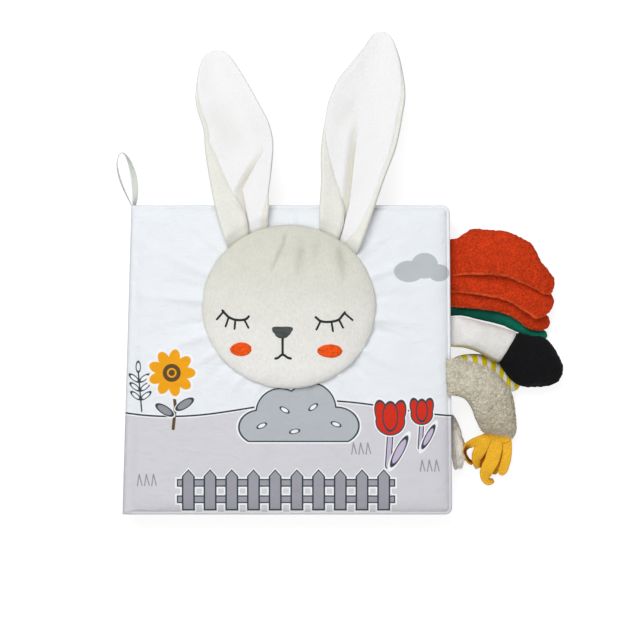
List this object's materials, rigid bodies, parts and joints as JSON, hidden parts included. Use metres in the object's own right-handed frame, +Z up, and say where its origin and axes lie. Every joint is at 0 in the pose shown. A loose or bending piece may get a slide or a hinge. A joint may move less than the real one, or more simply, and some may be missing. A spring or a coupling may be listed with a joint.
{
  "type": "cloth book",
  "caption": "Soft crinkle cloth book with a padded rabbit face, long fold-over ears, plush animal tails along its fore edge and a hanging ribbon.",
  "frame": {"origin": "middle of the back cover's flat underside, on the surface the book lies on", "axes": "+X from the spine to the fore edge with the tails, +Y to the top edge with the ears, +Z up to the rabbit face"},
  "size_m": [0.3126, 0.3389, 0.046],
  "materials": {
    "cover_print": "smooth printed cotton cloth, soft matt",
    "page_cloth": "smooth plain polyester cloth, matt",
    "wadding": "loose polyester wadding",
    "crinkle_film": "thin crackling film",
    "binding_tape": "woven cotton tape",
    "beige_plush": "short velvet plush, matt",
    "white_plush": "short white plush",
    "thread": "dark satin-stitched thread",
    "nose_thread": "grey satin-stitched thread",
    "cheek_thread": "orange satin-stitched thread",
    "red_plush": "short red plush",
    "green_cloth": "green velvet cloth",
    "black_plush": "short black plush",
    "striped_cloth": "yellow and white striped cotton",
    "tan_plush": "curly beige plush",
    "yellow_felt": "yellow felt",
    "cream_plush": "long cream fluff",
    "ribbon": "pale woven satin ribbon"
  },
  "bodies": {
    "back_cover": {"back_cover_outer_fabric": "cover_print", "back_cover_crinkle_film": "crinkle_film", "back_cover_wadding": "wadding", "back_cover_inner_fabric": "page_cloth"},
    "leaf_3": {"leaf_3_back_fabric": "page_cloth", "leaf_3_crinkle_film": "crinkle_film", "leaf_3_wadding": "wadding", "leaf_3_front_fabric": "page_cloth", "striped_tail": "striped_cloth"},
    "leaf_2": {"leaf_2_back_fabric": "page_cloth", "leaf_2_crinkle_film": "crinkle_film", "leaf_2_wadding": "wadding", "leaf_2_front_fabric": "page_cloth", "green_tail_lobe": "green_cloth"},
    "leaf_1": {"leaf_1_back_fabric": "page_cloth", "leaf_1_crinkle_film": "crinkle_film", "leaf_1_wadding": "wadding", "leaf_1_front_fabric": "page_cloth"},
    "front_cover": {"front_cover_inner_fabric": "page_cloth", "front_cover_crinkle_film": "crinkle_film", "front_cover_wadding": "wadding", "front_cover_outer_fabric": "cover_print", "face_plush": "beige_plush", "face_stuffing": "wadding", "left_eye_embroidery": "thread", "right_eye_embroidery": "thread", "nose_embroidery": "nose_thread", "mouth_embroidery": "thread", "left_cheek_embroidery": "cheek_thread", "right_cheek_embroidery": "cheek_thread", "left_ear_root": "beige_plush", "right_ear_root": "beige_plush"},
    "spine": {"spine_outer_fabric": "cover_print", "spine_binding_tape": "binding_tape"},
    "ribbon_loop": {"hanging_ribbon": "ribbon"},
    "left_ear": {"left_ear_plush": "beige_plush", "left_ear_crinkle_film": "crinkle_film", "left_ear_lining": "white_plush"},
    "right_ear": {"right_ear_plush": "beige_plush", "right_ear_crinkle_film": "crinkle_film", "right_ear_lining": "white_plush"},
    "beige_tail": {"beige_tail_plush": "tan_plush", "beige_tail_stuffing": "wadding"},
    "tassel": {"beige_tail_tassel": "yellow_felt"},
    "white_tail": {"white_tail_plush": "white_plush", "white_tail_black_end": "black_plush", "white_tail_stuffing": "wadding"},
    "red_lobe_3": {"red_tail_lobe_3": "red_plush"},
    "red_lobe_2": {"red_tail_lobe_2": "red_plush"},
    "red_lobe_1": {"red_tail_lobe_1": "red_plush"},
    "cream_tail": {"cream_tail": "cream_plush"}
  },
  "joints": [
    {"name": "spine_fold", "type": "hinge", "parent": "back_cover", "child": "spine", "pos_m": [-0.11045, -0.00009, 0.00195], "axis": [-0.029, -0.9996, 0], "range_deg": [0, 45]},
    {"name": "front_cover_opening", "type": "hinge", "parent": "spine", "child": "front_cover", "pos_m": [-0.11045, -0.00009, 0.02765], "axis": [-0.029, -0.9996, 0], "range_deg": [0, 116]},
    {"name": "leaf_1_turn", "type": "hinge", "parent": "spine", "child": "leaf_1", "pos_m": [-0.11045, -0.00009, 0.0211], "axis": [-0.029, -0.9996, 0], "range_deg": [0, 42]},
    {"name": "leaf_2_turn", "type": "hinge", "parent": "spine", "child": "leaf_2", "pos_m": [-0.11045, -0.00009, 0.0148], "axis": [-0.029, -0.9996, 0], "range_deg": [0, 15]},
    {"name": "leaf_3_turn", "type": "hinge", "parent": "spine", "child": "leaf_3", "pos_m": [-0.11045, -0.00009, 0.0085], "axis": [-0.029, -0.9996, 0], "range_deg": [-12, 0]},
    {"name": "ribbon_fold", "type": "hinge", "parent": "spine", "child": "ribbon_loop", "pos_m": [-0.10941, 0.11172, 0.023], "axis": [0.9996, -0.029, 0], "range_deg": [0, 75]},
    {"name": "left_ear_fold", "type": "hinge", "parent": "front_cover", "child": "left_ear", "pos_m": [-0.0293, 0.0947, 0.0432], "axis": [1, 0, 0], "range_deg": [0, 175]},
    {"name": "right_ear_fold", "type": "hinge", "parent": "front_cover", "child": "right_ear", "pos_m": [0.0353, 0.0947, 0.0432], "axis": [1, 0, 0], "range_deg": [0, 175]},
    {"name": "beige_tail_lift", "type": "hinge", "parent": "front_cover", "child": "beige_tail", "pos_m": [0.1151, -0.012, 0.0287], "axis": [0, -1, 0], "range_deg": [0, 60]},
    {"name": "tassel_lift", "type": "hinge", "parent": "beige_tail", "child": "tassel", "pos_m": [0.14669, -0.05483, 0.0095], "axis": [-0.9864, 0.1644, 0], "range_deg": [0, 60]},
    {"name": "white_tail_lift", "type": "hinge", "parent": "leaf_1", "child": "white_tail", "pos_m": [0.11484, 0.0199, 0.02215], "axis": [0, -1, 0], "range_deg": [0, 45]},
    {"name": "red_lobe_3_lift", "type": "hinge", "parent": "leaf_2", "child": "red_lobe_3", "pos_m": [0.11431, 0.0484, 0.0151], "axis": [0, -1, 0], "range_deg": [0, 14]},
    {"name": "red_lobe_2_lift", "type": "hinge", "parent": "red_lobe_3", "child": "red_lobe_2", "pos_m": [0.11483, 0.0584, 0.0166], "axis": [0, -1, 0], "range_deg": [0, 12]},
    {"name": "red_lobe_1_lift", "type": "hinge", "parent": "red_lobe_2", "child": "red_lobe_1", "pos_m": [0.11532, 0.0714, 0.0181], "axis": [0, -1, 0], "range_deg": [0, 18]},
    {"name": "cream_tail_lift", "type": "hinge", "parent": "back_cover", "child": "cream_tail", "pos_m": [0.11563, -0.0415, 0.003], "axis": [-1, 0, 0], "range_deg": [0, 80]}
  ],
  "couplings": [
    {"joint": "spine_fold", "follows": "front_cover_opening", "ratio": 0.375},
    {"joint": "leaf_1_turn", "follows": "front_cover_opening", "ratio": 0.35},
    {"joint": "leaf_2_turn", "follows": "front_cover_opening", "ratio": 0.125},
    {"joint": "leaf_3_turn", "follows": "front_cover_opening", "ratio": -0.1}
  ]
}
